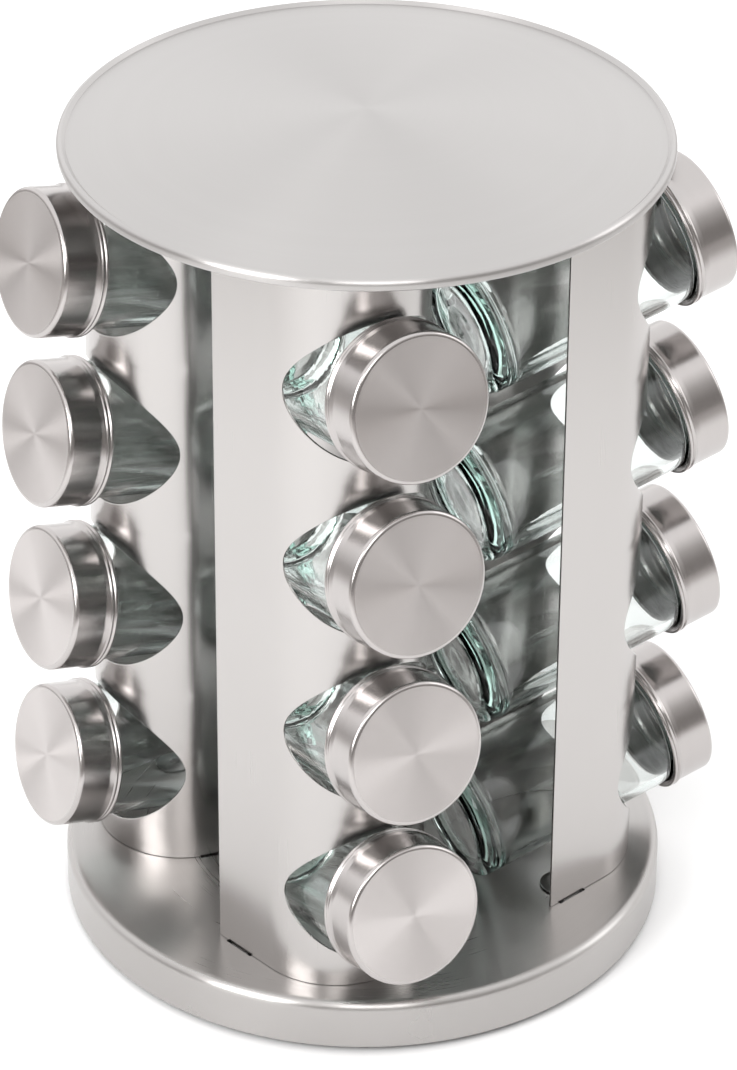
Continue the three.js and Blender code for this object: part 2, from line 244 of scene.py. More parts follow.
@dataclass(frozen=True)
class SteelFinish:
    """Bare or plated steel with fine lines in one direction."""

    name: str
    colour: tuple[float, float, float]
    dark: tuple[float, float, float]
    roughness: float
    grain: Grain
    line_scale: float = 900.0
    line_depth: float = 0.02
    roughness_swing: float = 0.08
    anisotropy: float = 0.0
    metal: float = 1.0

    def _across(self, shader: Shader) -> Value | None:
        """The distance across the lines, in metres, or None for a surface without lines."""
        place = shader.node("ShaderNodeTexCoord")
        if self.grain is Grain.SPUN:
            parts = shader.node("ShaderNodeSeparateXYZ", None, {0: place.outputs["Object"]})
            x, y = (Value(shader, parts.outputs[i]) for i in (0, 1))
            return (x * x + y * y) ** 0.5
        if self.grain is Grain.NONE:
            return None
        parts = shader.node("ShaderNodeSeparateXYZ", None, {0: place.outputs["UV"]})
        return Value(shader, parts.outputs[1 if self.grain is Grain.TURNED else 0])

    def material(self) -> bpy.types.Material:
        """Builds the finish: lines in height, lines and clouds in roughness and colour."""
        material, shader = new_material(self.name)
        place = shader.node("ShaderNodeTexCoord")
        clouds = shader.noise(place.outputs["Object"], 28.0)
        smudges = shader.noise(place.outputs["Object"], 90.0, 4.0)
        across = self._across(shader)
        fine = smudges if across is None else shader.lines(across, self.line_scale)
        coarse = clouds if across is None else shader.lines(across, self.line_scale * 0.22)
        share = (clouds * 0.5 + fine * 0.3 + coarse * 0.2).clamped()
        rough = self.roughness + (clouds - 0.5) * self.roughness_swing
        rough = rough + (fine - 0.5) * self.roughness_swing
        bump = shader.node(
            "ShaderNodeBump",
            None,
            {"Strength": 1.0, "Distance": self.line_depth * MM, "Height": fine + coarse * 0.6},
        )
        surface = shader.node(
            "ShaderNodeBsdfPrincipled",
            None,
            {
                "Base Color": shader.blend(share, self.dark, self.colour),
                "Metallic": self.metal,
                "Roughness": rough.clamped(),
                "Anisotropic": self.anisotropy,
                "Anisotropic Rotation": 0.25,
                "Normal": bump.outputs[0],
            },
        )
        shader.node("ShaderNodeOutputMaterial", None, {"Surface": surface.outputs[0]})
        return material


@dataclass(frozen=True)
class GlassFinish:
    """Clear bottle glass that looks green where it is thick."""

    name: str
    tint: tuple[float, float, float] = (0.30, 0.74, 0.62)
    density: float = 21.0
    index: float = 1.5

    def material(self) -> bpy.types.Material:
        """Builds the glass: a clear surface with a faint ripple, and a green body."""
        material, shader = new_material(self.name)
        place = shader.node("ShaderNodeTexCoord")
        ripple = shader.noise(place.outputs["Object"], 60.0, 1.0)
        stipple = shader.noise(place.outputs["Object"], 420.0, 1.0)
        height = ripple + stipple * 0.12
        bump = shader.node(
            "ShaderNodeBump", None, {"Strength": 0.5, "Distance": 0.12 * MM, "Height": height}
        )
        surface = shader.node(
            "ShaderNodeBsdfPrincipled",
            None,
            {
                "Base Color": (1.0, 1.0, 1.0, 1.0),
                "Roughness": 0.0,
                "IOR": self.index,
                "Transmission Weight": 1.0,
                "Normal": bump.outputs[0],
            },
        )
        body = shader.node(
            "ShaderNodeVolumeAbsorption",
            None,
            {"Color": (*self.tint, 1.0), "Density": self.density},
        )
        inputs = {"Surface": surface.outputs[0], "Volume": body.outputs[0]}
        shader.node("ShaderNodeOutputMaterial", None, inputs)
        return material


@dataclass(frozen=True)
class MouldedFinish:
    """Matt moulded rubber or plastic."""

    name: str
    colour: tuple[float, float, float] = (0.018, 0.018, 0.019)
    worn: tuple[float, float, float] = (0.05, 0.05, 0.052)

    def material(self) -> bpy.types.Material:
        """Builds the finish: a fine moulded grain, paler where the grain stands up."""
        material, shader = new_material(self.name)
        place = shader.node("ShaderNodeTexCoord")
        grain = shader.noise(place.outputs["Object"], 1400.0, 3.0)
        bump = shader.node(
            "ShaderNodeBump", None, {"Strength": 0.6, "Distance": 0.05 * MM, "Height": grain}
        )
        surface = shader.node(
            "ShaderNodeBsdfPrincipled",
            None,
            {
                "Base Color": shader.blend(grain, self.colour, self.worn),
                "Roughness": (0.7 + grain * 0.2).clamped(),
                "Normal": bump.outputs[0],
            },
        )
        shader.node("ShaderNodeOutputMaterial", None, {"Surface": surface.outputs[0]})
        return material


Finish = SteelFinish | GlassFinish | MouldedFinish

PLATE_STEEL = SteelFinish(
    "spun_plate_steel",
    (0.51, 0.497, 0.49),
    (0.47, 0.455, 0.447),
    0.33,
    Grain.SPUN,
    line_depth=0.002,
    roughness_swing=0.04,
    anisotropy=0.8,
)
PAN_STEEL = SteelFinish(
    "turned_pan_steel",
    (0.50, 0.485, 0.475),
    (0.42, 0.403, 0.393),
    0.30,
    Grain.SPUN,
    line_scale=1300.0,
    line_depth=0.005,
    roughness_swing=0.12,
    anisotropy=0.8,
)
FACE_STEEL = SteelFinish(
    "spun_face_steel",
    (0.575, 0.545, 0.535),
    (0.55, 0.52, 0.51),
    0.34,
    Grain.TURNED,
    line_scale=2200.0,
    line_depth=0.0012,
    roughness_swing=0.03,
    anisotropy=0.93,
)
SKIRT_STEEL = SteelFinish(
    "turned_skirt_steel",
    (0.50, 0.476, 0.468),
    (0.46, 0.435, 0.426),
    0.22,
    Grain.TURNED,
    line_scale=2200.0,
    line_depth=0.004,
    roughness_swing=0.05,
)
SHEET_STEEL = SteelFinish(
    "rolled_sheet_steel",
    (0.52, 0.502, 0.492),
    (0.48, 0.462, 0.452),
    0.25,
    Grain.UPRIGHT,
    line_scale=900.0,
    line_depth=0.003,
    roughness_swing=0.06,
)
RIVET_STEEL = SteelFinish(
    "pressed_rivet_steel", (0.36, 0.35, 0.345), (0.29, 0.28, 0.275), 0.34, Grain.NONE
)
ZINC_STEEL = SteelFinish(
    "zinc_plated_steel", (0.42, 0.43, 0.44), (0.30, 0.31, 0.32), 0.45, Grain.NONE, metal=0.9
)
BEARING_STEEL = SteelFinish(
    "ground_bearing_steel", (0.55, 0.55, 0.56), (0.48, 0.48, 0.49), 0.18, Grain.NONE
)
JAR_GLASS = GlassFinish("bottle_glass")
FOOT_RUBBER = MouldedFinish("moulded_rubber")
LID_LINER = MouldedFinish("lid_liner", (0.82, 0.90, 0.87), (0.86, 0.93, 0.90))


class Stock:
    """The finishes as materials, each built once and shared by the pieces that have it."""

    def __init__(self) -> None:
        """Starts with nothing built."""
        self._built: dict[str, bpy.types.Material] = {}

    def of(self, finish: Finish) -> bpy.types.Material:
        """The material of one finish."""
        if finish.name not in self._built:
            self._built[finish.name] = finish.material()
        return self._built[finish.name]


# ---- Shapes ------------------------------------------------------------------------------------


class Profile:
    """A line of [distance from the axis, height] points in millimetres, drawn step by step."""

    def __init__(self, radius: float, height: float) -> None:
        """Starts the line at a point."""
        self.points: list[tuple[float, float]] = [(radius, height)]

    def to(self, radius: float, height: float) -> "Profile":
        """Draws a straight stretch to a point."""
        self.points.append((radius, height))
        return self

    def arc(
        self, radius: float, height: float, bend: float, start: float, end: float, steps: int = 6
    ) -> "Profile":
        """Draws an arc: centre plus bend times the cosine and sine of evenly spaced angles.

        Args:
            radius: Distance of the arc's centre from the axis.
            height: Height of the arc's centre.
            bend: The arc's own radius.
            start: First angle in degrees, 0 outwards and 90 upwards.
            end: Last angle in degrees.
            steps: Number of stretches.

        Returns:
            The profile itself.
        """
        for angle in np.radians(np.linspace(start, end, steps + 1)):
            self.points.append(
                (radius + bend * math.cos(angle), height + bend * math.sin(angle))
            )
        return self

    def supported(self, margin: float = 0.3) -> np.ndarray:
        """The points, with two more near the ends of each long straight stretch.

        They keep the shading of a flat stretch flat up to the bend beside it.
        """
        points = np.array(self.points)
        keep = np.r_[True, np.hypot(*np.diff(points, axis=0).T) > 1e-5]
        points = points[keep]
        out = [points[:1]]
        for a, b in zip(points[:-1], points[1:]):
            length = math.hypot(*(b - a))
            shares = [margin / length, 1 - margin / length] if length > 4 * margin else []
            out.append(a + (b - a) * np.array([*shares, 1.0])[:, None])
        return np.concatenate(out)


@dataclass
class Surface:
    """Points in millimetres with four-sided and three-sided faces, and a map place per corner."""

    points: np.ndarray
    fours: np.ndarray
    threes: np.ndarray
    four_map: np.ndarray
    three_map: np.ndarray

    def moved(self, place: np.ndarray) -> "Surface":
        """The same surface under a 4 by 4 matrix."""
        points = self.points @ place[:3, :3].T + place[:3, 3]
        return Surface(points, self.fours, self.threes, self.four_map, self.three_map)

    def volume(self) -> float:
        """The volume inside: a sixth of the sum of the triple products of its triangles."""
        halves = np.concatenate([self.fours[:, :3], self.fours[:, [0, 2, 3]], self.threes])
        a, b, c = (self.points[halves[:, i]] for i in range(3))
        return float(np.einsum("ij,ij->", a, np.cross(b, c)) / 6)

    def outward(self) -> "Surface":
        """The same closed surface, with its faces turned outwards."""
        if self.volume() >= 0:
            return self
        return Surface(
            self.points,
            self.fours[:, ::-1],
            self.threes[:, ::-1],
            self.four_map[:, ::-1],
            self.three_map[:, ::-1],
        )


def four_sided(points: np.ndarray, faces: np.ndarray, places: np.ndarray) -> Surface:
    """A surface that has four-sided faces only."""
    return Surface(points, faces, np.zeros((0, 3), int), places, np.zeros((0, 3, 2)))


def joined(*surfaces: Surface) -> Surface:
    """Several surfaces as one, with their faces counted on."""
    starts = np.cumsum([0, *(len(s.points) for s in surfaces[:-1])])
    return Surface(
        np.concatenate([s.points for s in surfaces]),
        np.concatenate([s.fours + n for s, n in zip(surfaces, starts)]),
        np.concatenate([s.threes + n for s, n in zip(surfaces, starts)]),
        np.concatenate([s.four_map for s in surfaces]),
        np.concatenate([s.three_map for s in surfaces]),
    )


def turned(profile: np.ndarray, facets: int, ring: bool = False) -> Surface:
    """Turns a profile about the upright axis.

    A point at angle a and profile place s is (radius(s) cos a, radius(s) sin a, height(s)). The map
    is (share of the turn, length along the profile in metres). A profile point on the axis becomes
    one shared point, and a ring's last profile point is its first.

    Args:
        profile: Rows of radius and height.
        facets: Number of steps round.
        ring: True if the profile closes on itself.

    Returns:
        The closed surface with its faces outwards.
    """
    radius, height = profile.T
    pole = radius < 1e-6
    counts = np.where(pole, 1, facets)
    starts = np.cumsum(np.r_[0, counts[:-1]])
    index = starts[:, None] + np.where(pole[:, None], 0, np.arange(facets))
    if ring:
        index[-1] = index[0]
    angle = np.arange(facets) * 2 * math.pi / facets
    grid = np.stack(
        [
            radius[:, None] * np.cos(angle),
            radius[:, None] * np.sin(angle),
            np.broadcast_to(height[:, None], (len(radius), facets)),
        ],
        axis=-1,
    )
    points = np.zeros((int(counts.sum()), 3))
    points[(starts[:, None] + np.where(pole[:, None], 0, np.arange(facets))).ravel()] = (
        grid.reshape(-1, 3)
    )
    following = np.roll(index, -1, axis=1)
    along = np.r_[0, np.cumsum(np.hypot(*np.diff(profile, axis=0).T))] * MM
    share = np.arange(facets) / facets
    faces = np.stack([index[:-1], following[:-1], following[1:], index[1:]], axis=-1)
    u0 = np.broadcast_to(share, faces.shape[:2])
    u1 = u0 + 1 / facets
    v0 = np.broadcast_to(along[:-1, None], faces.shape[:2])
    v1 = np.broadcast_to(along[1:, None], faces.shape[:2])
    corner = np.stack(
        [np.stack([u, v], axis=-1) for u, v in ((u0, v0), (u1, v0), (u1, v1), (u0, v1))], axis=2
    )
    full = ~pole[:-1] & ~pole[1:]
    from_pole, to_pole = pole[:-1], pole[1:]
    threes = np.concatenate(
        [
            faces[from_pole][..., [0, 2, 3]].reshape(-1, 3),
            faces[to_pole][..., [0, 1, 2]].reshape(-1, 3),
        ]
    )
    three_map = np.concatenate(
        [
            corner[from_pole][:, :, [0, 2, 3]].reshape(-1, 3, 2),
            corner[to_pole][:, :, [0, 1, 2]].reshape(-1, 3, 2),
        ]
    )
    return Surface(
        points, faces[full].reshape(-1, 4), threes, corner[full].reshape(-1, 4, 2), three_map
    ).outward()


def to_mesh(name: str, surface: Surface, sharp: float = 40.0) -> bpy.types.Mesh:
    """Puts a surface into a mesh, in metres, smooth but for edges sharper than an angle."""
    mesh = bpy.data.meshes.new(name)
    corners = np.concatenate([surface.fours.ravel(), surface.threes.ravel()])
    sizes = np.r_[np.full(len(surface.fours), 4), np.full(len(surface.threes), 3)]
    mesh.vertices.add(len(surface.points))
    mesh.vertices.foreach_set("co", (surface.points * MM).astype(np.float32).ravel())
    mesh.loops.add(len(corners))
    mesh.loops.foreach_set("vertex_index", corners.astype(np.int32))
    mesh.polygons.add(len(sizes))
    mesh.polygons.foreach_set("loop_start", np.r_[0, np.cumsum(sizes)[:-1]].astype(np.int32))
    mesh.polygons.foreach_set("use_smooth", np.ones(len(sizes), bool))
    places = np.concatenate([surface.four_map.reshape(-1, 2), surface.three_map.reshape(-1, 2)])
    mesh.uv_layers.new(name="lines").uv.foreach_set("vector", places.astype(np.float32).ravel())
    mesh.update(calc_edges=True)
    mesh.validate()
    mesh.set_sharp_from_angle(angle=math.radians(sharp))
    return mesh


def to_object(name: str, mesh: bpy.types.Mesh) -> bpy.types.Object:
    """Makes an object of a mesh, at the origin."""
    made = bpy.data.objects.new(name, mesh)
    bpy.context.scene.collection.objects.link(made)
    return made


def settle(thing: bpy.types.Object, sharp: float = 40.0) -> None:
    """Replaces an object's mesh with what its modifiers make of it, and drops the modifiers.

    Args:
        thing: The object.
        sharp: Edges of the new mesh that turn by more than this many degrees are sharp.
    """
    bpy.context.view_layer.update()
    graph = bpy.context.evaluated_depsgraph_get()
    mesh = bpy.data.meshes.new_from_object(
        thing.evaluated_get(graph), preserve_all_data_layers=True, depsgraph=graph
    )
    mesh.set_sharp_from_angle(angle=math.radians(sharp))
    thing.modifiers.clear()
    thing.data = mesh


def quarter_turn(bay: int) -> np.ndarray:
    """The 4 by 4 matrix that carries bay 0 to another bay."""
    return np.array(Matrix.Rotation(bay * math.pi / 2, 4, "Z"))


class SubAssembly:
    """What every sub-assembly shares: the stock of finishes and the way a piece is handed over."""

    stock: Stock

    def hand_over(
        self,
        piece: bpy.types.Object,
        finish: Finish,
        body: str,
        slot: str,
        node: str,
    ) -> None:
        """Dresses a piece, puts it on its body and hides the frame node it stands for."""
        piece.data.materials.clear()
        piece.data.materials.append(self.stock.of(finish))
        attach(piece, body)
        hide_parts(node)
        count = sum(len(p.vertices) - 2 for p in piece.data.polygons)
        log.info("%s: %d triangles, on %s", piece.name, count, body)


# ---- Tower -------------------------------------------------------------------------------------


@dataclass(frozen=True)
class Tab:
    """A tab of a sheet, by its place along the sheet's plan, with the slot that it stands in."""

    middle: float
    width: float
    slot: float

    def edges(self) -> tuple[float, float, float, float]:
        """Grid columns: where the slot starts, the tab starts, the tab ends and the slot ends."""
        half, room = self.width / 2, self.slot / 2
        return (
            self.middle - room,
            self.middle - half,
            self.middle + half,
            self.middle + room,
        )


@dataclass
class SheetPlan:
    """The bent line that a sheet of bay 0 follows, seen from above: panel, roll and inner leg."""

    axis_x: float = -36.0
    axis_y: float = -46.2
    outside: float = 27.1
    sheet: float = 0.8
    panel_angle: float = math.radians(13.2)
    panel_length: float = 23.7
    leg_angle: float = math.radians(10)
    leg_length: float = 13.0

    @property
    def middle(self) -> float:
        """Radius of the roll, halfway through the sheet."""
        return self.outside - self.sheet / 2

    @property
    def start(self) -> float:
        """Angle at which the panel meets the roll."""
        return math.pi + self.panel_angle

    @property
    def end(self) -> float:
        """Angle at which the roll meets the inner leg."""
        return 2 * math.pi + self.leg_angle

    @property
    def roll_end(self) -> float:
        """Length along the plan at the end of the roll."""
        return self.panel_length + self.middle * (self.end - self.start)

    @property
    def length(self) -> float:
        """Length of the whole plan."""
        return self.roll_end + self.leg_length

    def along(self, angle: float) -> float:
        """Length along the plan at an angle on the roll."""
        return self.panel_length + self.middle * (angle - self.start)

    def place(self, along: np.ndarray, height: np.ndarray) -> np.ndarray:
        """Points of the sheet's middle surface.

        The roll is a circle about its axis, and the panel and the leg leave it on its tangents.

        Args:
            along: Lengths along the plan.
            height: Heights.

        Returns:
            One point for each length and height.
        """
        turned_by = (along - self.panel_length) / self.middle
        angle = np.clip(self.start + turned_by, self.start, self.end)
        away = np.maximum(self.panel_length - along, 0) + np.minimum(self.roll_end - along, 0)
        x = self.axis_x + self.middle * np.cos(angle) + away * np.sin(angle)
        y = self.axis_y + self.middle * np.sin(angle) - away * np.cos(angle)
        return np.stack([x, y, height], axis=-1)


@dataclass
class ColumnSheets(SubAssembly):
    """The four steel sheets: each is cut with four jar holes and slotted in by tabs."""

    stock: Stock
    plan: SheetPlan = field(default_factory=SheetPlan)
    pitch: float = 58.7
    hole_height: float = 226.9
    hole_half_width: float = 24.2
    hole_half_height: float = 23.1
    foot: float = 18.6
    head: float = 263.3
    foot_row: float = 1.8
    tab_below: float = 3.5
    tab_above: float = 3.2
    cell_half_width: float = 33.0
    across_steps: int = 32
    up_steps: int = 24
    edge: float = 0.16

    def tabs(self) -> tuple[Tab, Tab]:
        """The panel's tab and the roll's."""
        return Tab(9.2, 7.0, 12.0), Tab(self.plan.along(math.radians(352)), 4.0, 7.6)

    def _rectangle(self, front: float, middle: float) -> np.ndarray:
        """Points round a hole's cell, anticlockwise from its lower right corner."""
        half = self.pitch / 2
        across = np.linspace(-1, 1, self.across_steps + 1)[:-1]
        up = np.linspace(-1, 1, self.up_steps + 1)[:-1]
        sides = [
            np.stack([np.ones_like(up), up], -1),
            np.stack([-across, np.ones_like(across)], -1),
            np.stack([-np.ones_like(up), -up], -1),
            np.stack([across, -np.ones_like(across)], -1),
        ]
        return np.concatenate(sides) * (self.cell_half_width, half) + (front, middle)

    def _cell(self, front: float, middle: float) -> tuple[np.ndarray, np.ndarray]:
        """One hole and the sheet round it, on the sheet's flat map.

        The hole is where an ellipse seen from the front meets the roll: its width is the arc sine
        of the ellipse's. Layers between the hole and the cell's edge are blends of the two.

        Args:
            front: Length along the plan at the roll's front.
            middle: Height of the hole's centre.

        Returns:
            Points on the flat map, and four-sided faces.
        """
        outer = self._rectangle(front, middle)
        turn = np.arctan2(
            (outer[:, 1] - middle) / (self.pitch / 2), (outer[:, 0] - front) / self.cell_half_width
        )
        radius = self.plan.middle
        reach = np.arcsin(self.hole_half_width * np.cos(turn) / radius) * radius
        hole = np.stack([front + reach, middle + self.hole_half_height * np.sin(turn)], -1)
        shares = np.array([0, 0.05, 0.15, 0.32, 0.55, 0.78, 1])[:, None, None]
        layers = hole * (1 - shares) + outer * shares
        count = len(outer)
        index = np.arange(layers.shape[0] * count).reshape(-1, count)
        following = np.roll(index, -1, axis=1)
        faces = np.stack([index[:-1], index[1:], following[1:], following[:-1]], -1)
        return layers.reshape(-1, 2), faces.reshape(-1, 4)

    @staticmethod
    def _lattice(columns: np.ndarray, rows: np.ndarray) -> tuple[np.ndarray, np.ndarray]:
        """A plain grid on the flat map, one face for each pair of neighbours."""
        points = np.stack(np.meshgrid(columns, rows), -1).reshape(-1, 2)
        index = np.arange(len(points)).reshape(len(rows), len(columns))
        faces = np.stack([index[:-1, :-1], index[:-1, 1:], index[1:, 1:], index[1:, :-1]], -1)
        return points, faces.reshape(-1, 4)

    def _flat(self) -> tuple[np.ndarray, np.ndarray]:
        """The whole sheet on its flat map, welded from cells, side strips, margins and tabs.

        Returns:
            Points on the flat map, and four-sided faces.
        """
        low, high = self.foot, self.head
        front = self.plan.along(1.5 * math.pi)
        left, right = front - self.cell_half_width, front + self.cell_half_width
        centres = self.hole_height - self.pitch * np.arange(ROWS)
        bottom, top = centres[-1] - self.pitch / 2, centres[0] + self.pitch / 2
        panel, roll = (tab.edges() for tab in self.tabs())
        bend = self.plan.panel_length
        before = np.array([0, 0.6, *panel, bend - 4.7, bend - 1, bend, bend + 1.4, left])
        end = self.plan.roll_end
        after = np.array([right, *roll, 103.8, end, end + 1, end + 6, end + 12.4, end + 13])
        inside = np.linspace(left, right, self.across_steps + 1)
        steps = np.linspace(bottom, top, ROWS * self.up_steps + 1)
        rows = np.r_[low, low + self.foot_row, steps, high - 0.6, high]
        parts = [self._cell(front, z) for z in centres]
        parts += [self._lattice(before, rows), self._lattice(after, rows)]
        parts += [self._lattice(inside, rows[:3]), self._lattice(inside, rows[-3:])]
        for tab in (panel, roll):
            ends = np.linspace(tab[1], tab[2], 3)[[0, 2]]
            parts.append(self._lattice(ends, np.array([low - self.tab_below, low])))
            parts.append(self._lattice(ends, np.array([high, high + self.tab_above])))
        starts = np.cumsum([0, *(len(p) for p, _ in parts[:-1])])
        points = np.concatenate([p for p, _ in parts])
        faces = np.concatenate([f + n for (_, f), n in zip(parts, starts)])
        unique, inverse = np.unique(np.round(points, 4), axis=0, return_inverse=True)
        return unique, inverse.reshape(-1)[faces]

    def build(self) -> None:
        """Makes the four sheets, thickens them and rounds their edges."""
        for bay in range(BAYS):
            node = f"column_sheet_{bay + 1}"
            flat, faces = self._flat()
            used, faces = np.unique(faces, return_inverse=True)
            flat, faces = flat[used], faces.reshape(-1, 4)
            points = self.plan.place(flat[:, 0], flat[:, 1])
            surface = four_sided(points, faces, flat[faces] * MM).moved(quarter_turn(bay))
            piece = to_object(f"rolled_sheet_{bay + 1}", to_mesh(node, surface, 80))
            wall = piece.modifiers.new("wall", "SOLIDIFY")
            wall.thickness = self.plan.sheet * MM
            wall.offset = 0.0
            wall.use_even_offset = True
            rounding = piece.modifiers.new("rounding", "BEVEL")
            rounding.width = self.edge * MM
            rounding.segments = 2
            rounding.limit_method = "ANGLE"
            rounding.angle_limit = math.radians(50)
            level = piece.modifiers.new("level", "WEIGHTED_NORMAL")
            level.keep_sharp = False
            settle(piece, 80)
            self.hand_over(piece, SHEET_STEEL, "tower", "sheet_steel", node)


@dataclass
class SpunPlates(SubAssembly):
    """The pan below the tower, and the plate and domed cap on top of it."""

    stock: Stock
    sheets: ColumnSheets
    sheet: float = 0.8
    pan_radius: float = 95.0
    cap_radius: float = 91.3
    plate_radius: float = 88.3
    pan_corner: float = 3.0
    rim_height: float = 2.2
    hem: float = 0.55
    facets: int = 192

    def _slots(
        self, height: float, widths: tuple[float, float], gap: float, shift: float
    ) -> bpy.types.Object:
        """Upright blades that cut the slots of every bay through a plate.

        Args:
            height: Height of the blades' middle.
            widths: Length of the panel's slot and of the roll's.
            gap: Width of a slot across the sheet.
            shift: How far a slot lies outside the middle of the sheet.

        Returns:
            The blades as one object.
        """
        plan = self.sheets.plan
        blades = []
        corners = np.array([(x, y, z) for x in (-1, 1) for y in (-1, 1) for z in (-1, 1)])
        faces = np.array(
            [(0, 1, 3, 2), (4, 6, 7, 5), (0, 4, 5, 1), (2, 3, 7, 6), (0, 2, 6, 4), (1, 5, 7, 3)]
        )
        for tab, width in zip(self.sheets.tabs(), widths):
            place = plan.place(np.array([tab.middle - 1, tab.middle, tab.middle + 1]), np.zeros(3))
            ahead = place[2] - place[0]
            angle = math.atan2(ahead[1], ahead[0])
            turn = np.array(Matrix.Rotation(angle, 4, "Z"))
            aside = np.array([math.sin(angle), -math.cos(angle), 0]) * shift
            turn[:3, 3] = place[1] + aside + (0, 0, height)
            size = np.array([width / 2, gap / 2, 3.0])
            for bay in range(BAYS):
                blade = four_sided(corners * size, faces, np.zeros((6, 4, 2)))
                blades.append(blade.moved(quarter_turn(bay) @ turn).outward())
        return to_object("slot_blades", to_mesh("slot_blades", joined(*blades)))

    def _cut(self, piece: bpy.types.Object, cutter: bpy.types.Object) -> None:
        """Takes a cutter out of a piece and throws the cutter away."""
        cut = piece.modifiers.new("cut", "BOOLEAN")
        cut.operation = "DIFFERENCE"
        cut.solver = "EXACT"
        cut.object = cutter
        settle(piece)
        bpy.data.objects.remove(cutter)

    def pan(self) -> None:
        """The inverted base pan: a flat top, a rounded shoulder and an upright rim."""
        low, high = (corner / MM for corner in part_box("base_pan"))
        radius, top, bottom = self.pan_radius, high.z, low.z
        corner, sheet, edge = self.pan_corner, self.sheet, 0.2
        turn = radius - corner
        shape = Profile(0, top).to(30, top).to(60, top).to(turn - 4, top)
        shape.arc(turn, top - corner, corner, 90, 0, 10).to(radius, bottom + edge)
        shape.arc(radius - edge, bottom + edge, edge, 0, -90, 2)
        shape.arc(radius - sheet + edge, bottom + edge, edge, -90, -180, 2)
        shape.arc(turn, top - corner, corner - sheet, 0, 90, 6).to(0, top - sheet)
        surface = turned(shape.supported(), self.facets)
        piece = to_object("spun_pan", to_mesh("spun_pan", surface))
        self._cut(piece, self._slots(top - 0.4, (11.0, 7.6), 1.7, 0.25))
        self.hand_over(piece, PAN_STEEL, "tower", "brushed_plate", "base_pan")

    def cap(self) -> None:
        """The cap: a dome that falls off as the square of the radius, and a small rolled rim."""
        low, high = (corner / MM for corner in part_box("top_cap"))
        radius, apex, bottom = self.cap_radius, high.z, low.z
        rim_top = bottom + self.rim_height
        rise = apex - rim_top
        edge = radius - 1.5
        shape = Profile(0, apex)
        for r in np.linspace(0, edge - 1.2, 41)[1:]:
            shape.to(r, apex - rise * (r / edge) ** 2)
        slope = math.degrees(math.atan(2 * rise / edge))
        bend = 1.9
        centre_r = radius - bend
        centre_z = bottom + 1.55
        shape.arc(centre_r, centre_z, bend, 90 - slope, 0, 8).to(radius, bottom + self.hem)
        shape.arc(radius - self.hem, bottom + self.hem, self.hem, 0, -90, 5)
        shape.arc(radius - self.sheet + 0.2, bottom + 0.2, 0.2, -90, -180, 2)
        shape.arc(centre_r, centre_z, bend - self.sheet, 0, 90 - slope, 4)
        for r in np.linspace(edge - 1.2, 0, 13):
            shape.to(r, apex - self.sheet - rise * (r / edge) ** 2)
        surface = turned(shape.supported(0.2), self.facets)
        piece = to_object("spun_cap", to_mesh("spun_cap", surface))
        self.hand_over(piece, PLATE_STEEL, "tower", "brushed_plate", "top_cap")

    def top_plate(self) -> None:
        """The flat plate under the cap, slotted for the sheets' upper tabs."""
        low, high = (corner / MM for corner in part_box("top_plate"))
        radius, edge = self.plate_radius, 0.2
        shape = Profile(0, high.z).to(40, high.z)
        shape.arc(radius - edge, high.z - edge, edge, 90, 0, 2)
        shape.arc(radius - edge, low.z + edge, edge, 0, -90, 2).to(0, low.z)
        surface = turned(shape.supported(), self.facets)
        piece = to_object("slotted_top_plate", to_mesh("slotted_top_plate", surface))
        self._cut(piece, self._slots((low.z + high.z) / 2, (8.0, 5.0), 1.6, 0.0))
        self.hand_over(piece, PLATE_STEEL, "tower", "sheet_steel", "top_plate")

    def build(self) -> None:
        """Makes the pan, the cap and the top plate."""
        self.pan()
        self.cap()
        self.top_plate()


@dataclass
class Rivets(SubAssembly):
    """Four blind rivets that hold the pan to the turntable."""

    stock: Stock
    x: float = -58.4
    y: float = -38.3
    flange: float = 6.2
    shank: float = 2.4
    eye: float = 1.3
    facets: int = 64

    def build(self) -> None:
        """Makes the rivets: a domed flange round an open eye, a shank and a set bulb."""
        for bay in range(BAYS):
            node = f"rivet_{bay + 1}"
            low, high = (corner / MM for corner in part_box(node))
            under = high.z - 1.1
            dome = self.flange - 0.25
            shape = Profile(self.eye, high.z - 0.5)
            shape.arc(self.eye + 0.35, high.z - 0.35, 0.35, 180, 90, 4)
            for r in np.linspace(self.eye + 0.6, dome, 9):
                share = (r - self.eye) / (dome - self.eye)
                shape.to(r, high.z - 0.62 * share**3)
            shape.arc(dome, under + 0.24, 0.24, 60, -90, 4)
            shape.to(self.shank, under).to(self.shank, low.z + 2.8)
            shape.arc(self.shank, low.z + 1.5, 1.1, 80, -80, 8)
            shape.to(self.shank, low.z + 0.2).to(self.eye, low.z).to(self.eye, high.z - 0.5)
            place = quarter_turn(bay)
            place = place @ np.array(Matrix.Translation((self.x, self.y, 0)))
            surface = turned(shape.supported(0.2), self.facets, ring=True).moved(place)
            piece = to_object(f"set_rivet_{bay + 1}", to_mesh(node, surface, 50))
            self.hand_over(piece, RIVET_STEEL, "tower", "rivet_steel", node)


# ---- Jars and lids -----------------------------------------------------------------------------


@dataclass
class Stations:
    """Where the jars stand: each slopes up and outwards, with its axis through its lid's face."""

    x: float = -36.0
    face_y: float = -94.2
    face_z: float = 232.1
    pitch: float = 58.7
    tilt: float = math.radians(11.5)

    def place(self, bay: int, row: int) -> np.ndarray:
        """The matrix from a frame on the lid's face, +Z outwards, to a bay and a row."""
        up = np.array(Matrix.Rotation(math.pi / 2 - self.tilt, 4, "X"))
        up[:3, 3] = (self.x, self.face_y, self.face_z - row * self.pitch)
        return quarter_turn(bay) @ up


